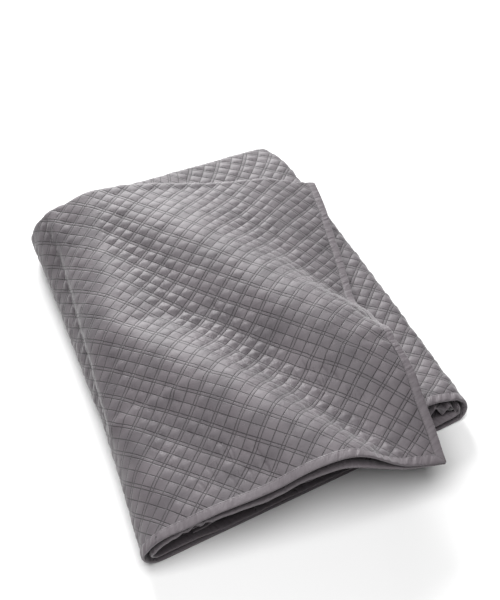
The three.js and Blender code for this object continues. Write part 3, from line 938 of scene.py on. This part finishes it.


# Cotton sateen, woven with long floats and quilted: soft grey with a low sheen on the cells and
# dark dotted stitch lines sunk between them, their grooves darkened with painted shade.
def quiltedSateen():
    finish = quiltedFinish
    material, tree = newMaterial("quilted_cotton_sateen")
    clothAt, latticeAt, creaseAt = (
        addNode(tree, "ShaderNodeAttribute", {"attribute_name": name}).outputs["Vector"]
        for name in ("clothPlace", "latticePlace", "creasePlace")
    )
    lattice = addNode(tree, splitNode, {0: latticeAt}).outputs
    crease = addNode(tree, splitNode, {0: creaseAt}).outputs
    families = zip(stitchLines(tree, lattice[0], lattice[1]), stitchLines(tree, lattice[1], lattice[0]))
    lines, dots = (
        addNode(tree, mathNode, {"operation": "MAXIMUM", 0: ofA, 1: ofB}).outputs[0]
        for ofA, ofB in families
    )

    noises = (  # length, detail, distortion
        (cloth["weaveLength"], 1.0, 0.0),
        (cloth["patchLength"], 3.0, 0.0),
        (finish["wrinkleLength"], 2.0, 0.8),
    )
    weave, patches, soft = (
        addNode(tree, noiseNode, {
            "Vector": clothAt, "Scale": 1 / (length * mm), "Detail": detail, "Distortion": distortion,
        }).outputs["Fac"]
        for length, detail, distortion in noises
    )
    offMiddle = addNode(tree, mathNode, {"operation": "SUBTRACT", 0: soft, 1: 0.5}).outputs[0]
    folded = addNode(tree, mathNode, {"operation": "ABSOLUTE", 0: offMiddle}).outputs[0]
    wrinkle = addNode(tree, rangeNode, {
        **fading, "Value": folded, "From Max": finish["wrinkleWidth"],
    }).outputs["Result"]
    drawnUp = addNode(tree, rangeNode, {**softStep, "Value": lattice[2], "To Min": finish["wrinkleCalm"]})
    wrinkles = addNode(tree, mathNode, {
        "operation": "MULTIPLY", 0: wrinkle, 1: drawnUp.outputs["Result"],
    }).outputs[0]

    aside = addNode(tree, mathNode, {"operation": "ABSOLUTE", 0: crease[0]}).outputs[0]
    creaseLine = addNode(tree, rangeNode, {
        **fading, "Value": aside, "From Max": finish["creaseWidth"] * mm,
    }).outputs["Result"]
    creased = addNode(tree, mathNode, {"operation": "MULTIPLY", 0: creaseLine, 1: crease[1]}).outputs[0]

    patchFrom, patchFull = cloth["patchShown"]
    dull = addNode(tree, rangeNode, {
        **softStep, "Value": patches, "From Min": patchFrom, "From Max": patchFull,
    })
    ground = addNode(tree, mixNode, {
        "data_type": "RGBA", 0: dull.outputs["Result"], 6: srgb(cloth["colour"]), 7: srgb(cloth["shade"]),
    }).outputs[2]
    # Painted shade: the grooves of the stitch lines are darkened towards the thread colour over their whole
    # width; the thread itself is the dots.
    grooveShade = addNode(tree, mathNode, {
        "operation": "MULTIPLY", 0: lines, 1: finish["grooveDark"],
    }).outputs[0]
    dark = addNode(tree, mathNode, {"operation": "MAXIMUM", 0: grooveShade, 1: dots}).outputs[0]
    colour = addNode(tree, mixNode, {
        "data_type": "RGBA", 0: dark, 6: ground, 7: srgb(cloth["thread"]),
    }).outputs[2]
    height = relief(tree, [
        (lines, -finish["groove"]), (dots, -finish["dot"]), (weave, cloth["weave"]),
        (wrinkles, finish["wrinkle"]), (creased, -finish["creaseCut"]),
    ])
    finishSateen(tree, colour, height, finish)
    return material


plainFinish = {
    "roughness": 0.6,
    "sheenRoughness": 0.4,
    "groove": 0.5,
    "grooveWidth": 1.1,
    "grooveDark": 0.4,
    "dotSharp": 0.6,
    "dotGap": 0.3,
    "seamShadow": (1.3, 0.3),  # shadow where the strip meets the cloth, from its inner edge
    "seamDark": 0.9,
    "pucker": 2.0,
    "puckerLength": 9.0,
    "puckerSlant": 0.4,
    "puckerStretch": 0.3,  # below 1 the puckers are longer across the strip
}


# The same sateen unquilted, folded round the edges: smoother and a little shinier, with one
# sunk line of stitches by its inner edge and painted shadow along the seam where it meets the quilt.
def plainSateen():
    finish = plainFinish
    material, tree = newMaterial("plain_cotton_sateen")
    clothAt = addNode(tree, "ShaderNodeAttribute", {"attribute_name": "clothPlace"}).outputs["Vector"]
    along, inward = addNode(tree, splitNode, {0: clothAt}).outputs[:2]
    fromLine = addNode(tree, mathNode, {"operation": "SUBTRACT", 0: inward, 1: stitchIn * mm}).outputs[0]
    toLine = addNode(tree, mathNode, {"operation": "ABSOLUTE", 0: fromLine}).outputs[0]
    thread = addNode(tree, rangeNode, {
        **fading, "Value": toLine, "From Max": finish["grooveWidth"] * mm,
    }).outputs["Result"]
    line = stitchRow(tree, thread, along, cloth["stitch"] * mm, finish)

    slant, across = (
        addNode(tree, mathNode, {"operation": "MULTIPLY", 0: inward, 1: amount}).outputs[0]
        for amount in (finish["puckerSlant"], finish["puckerStretch"])
    )
    slanted = addNode(tree, mathNode, {"operation": "ADD", 0: along, 1: slant}).outputs[0]
    aslant = addNode(tree, "ShaderNodeCombineXYZ", {0: slanted, 1: across}).outputs[0]
    noises = (  # place, length, detail, distortion
        (clothAt, cloth["weaveLength"], 1.0, 0.0),
        (aslant, finish["puckerLength"], 2.0, 0.4),
    )
    weave, puckers = (
        addNode(tree, noiseNode, {
            "Vector": at, "Scale": 1 / (length * mm), "Detail": detail, "Distortion": distortion,
        }).outputs["Fac"]
        for at, length, detail, distortion in noises
    )

    # Painted shadow along the seam, darkening the strip's inner edge towards the thread colour.
    seamFrom, seamTo = ((bindWidth - fromInner) * mm for fromInner in finish["seamShadow"])
    seamShadow = addNode(tree, rangeNode, {
        **softStep, "Value": inward, "From Min": seamFrom, "From Max": seamTo, "To Max": finish["seamDark"],
    }).outputs["Result"]
    darkLine = addNode(tree, mathNode, {
        "operation": "MULTIPLY", 0: line, 1: finish["grooveDark"],
    }).outputs[0]
    dark = addNode(tree, mathNode, {"operation": "MAXIMUM", 0: darkLine, 1: seamShadow}).outputs[0]
    colour = addNode(tree, mixNode, {
        "data_type": "RGBA", 0: dark, 6: srgb(cloth["colour"]), 7: srgb(cloth["thread"]),
    }).outputs[2]
    height = relief(tree, [(line, -finish["groove"]), (weave, cloth["weave"]), (puckers, finish["pucker"])])
    finishSateen(tree, colour, height, finish)
    return material


panel.data.materials.append(quiltedSateen())
plain = plainSateen()
for strip in strips.values():
    strip.data.materials.append(plain)
print("materials made")

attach(panel, "root")
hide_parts("quilted_panel")
for node, strip in strips.items():
    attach(strip, "root")
    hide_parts(node)

# Studio: a pale floor, a low soft light from behind and one from above the front left, and the
# camera above the front left.
studio = {
    "camera": (-0.4605, -2.0124, 2.2005),
    "elevation": 45.37,
    "azimuth": 13.83,
    "roll": -3.67,
    "focalPixels": 1281.5,  # in the photo's frame, 600 pixels high
    "framePixels": 600,
    "sensor": 36,
    "floor": "#ebebeb",
    "floorRoughness": 0.9,
    "floorReach": 8,
    "world": 0.04,
    "lights": {
        "key": {"place": (0.35, 5.4, 2.4), "size": 3.0, "power": 740, "target": (0, 0, 0.08)},
        "top": {"place": (-0.5, -1.3, 2.8), "size": 2.4, "power": 112, "target": (-0.4, -0.8, 0)},
    },
}
reach = studio["floorReach"]
floorCorners = [(-reach, -reach, 0), (reach, -reach, 0), (reach, reach, 0), (-reach, reach, 0)]
floorMesh = bpy.data.meshes.new("floor")
floorMesh.from_pydata(floorCorners, [], [(0, 1, 2, 3)])
floor = bpy.data.objects.new("floor", floorMesh)
bpy.context.scene.collection.objects.link(floor)


# Matt background paper: an even pale ground without gloss.
def studioPaper():
    material, tree = newMaterial("pale_studio_paper")
    shader = addNode(tree, "ShaderNodeBsdfPrincipled", {
        "Base Color": srgb(studio["floor"]), "Roughness": studio["floorRoughness"],
    })
    addNode(tree, "ShaderNodeOutputMaterial", {"Surface": shader.outputs["BSDF"]})
    return material


floor.data.materials.append(studioPaper())


def addLight(name, place, size, power, target):
    light = bpy.data.lights.new(name, "AREA")
    light.size = size
    light.energy = power
    holder = bpy.data.objects.new(name, light)
    holder.location = place
    holder.rotation_euler = (Vector(target) - Vector(place)).to_track_quat("-Z", "Y").to_euler()
    bpy.context.scene.collection.objects.link(holder)


for name, light in studio["lights"].items():
    addLight(name, **light)

world = bpy.data.worlds.new("studio")
world.use_nodes = True
world.node_tree.nodes["Background"].inputs["Color"].default_value = (1, 1, 1, 1)
world.node_tree.nodes["Background"].inputs["Strength"].default_value = studio["world"]
bpy.context.scene.world = world
bpy.context.scene.view_settings.view_transform = "Standard"

cameraData = bpy.data.cameras.new("camera")
cameraData.lens = studio["focalPixels"] / studio["framePixels"] * studio["sensor"]
cameraData.sensor_width = studio["sensor"]
camera = bpy.data.objects.new("camera", cameraData)
turned = Matrix.Rotation(math.radians(-studio["azimuth"]), 4, "Z")
tipped = Matrix.Rotation(math.radians(90 - studio["elevation"]), 4, "X")
rolled = Matrix.Rotation(math.radians(studio["roll"]), 4, "Z")
camera.matrix_world = Matrix.Translation(studio["camera"]) @ (turned @ tipped) @ rolled
bpy.context.scene.collection.objects.link(camera)
bpy.context.scene.camera = camera
print("studio set")

bpy.context.view_layer.update()
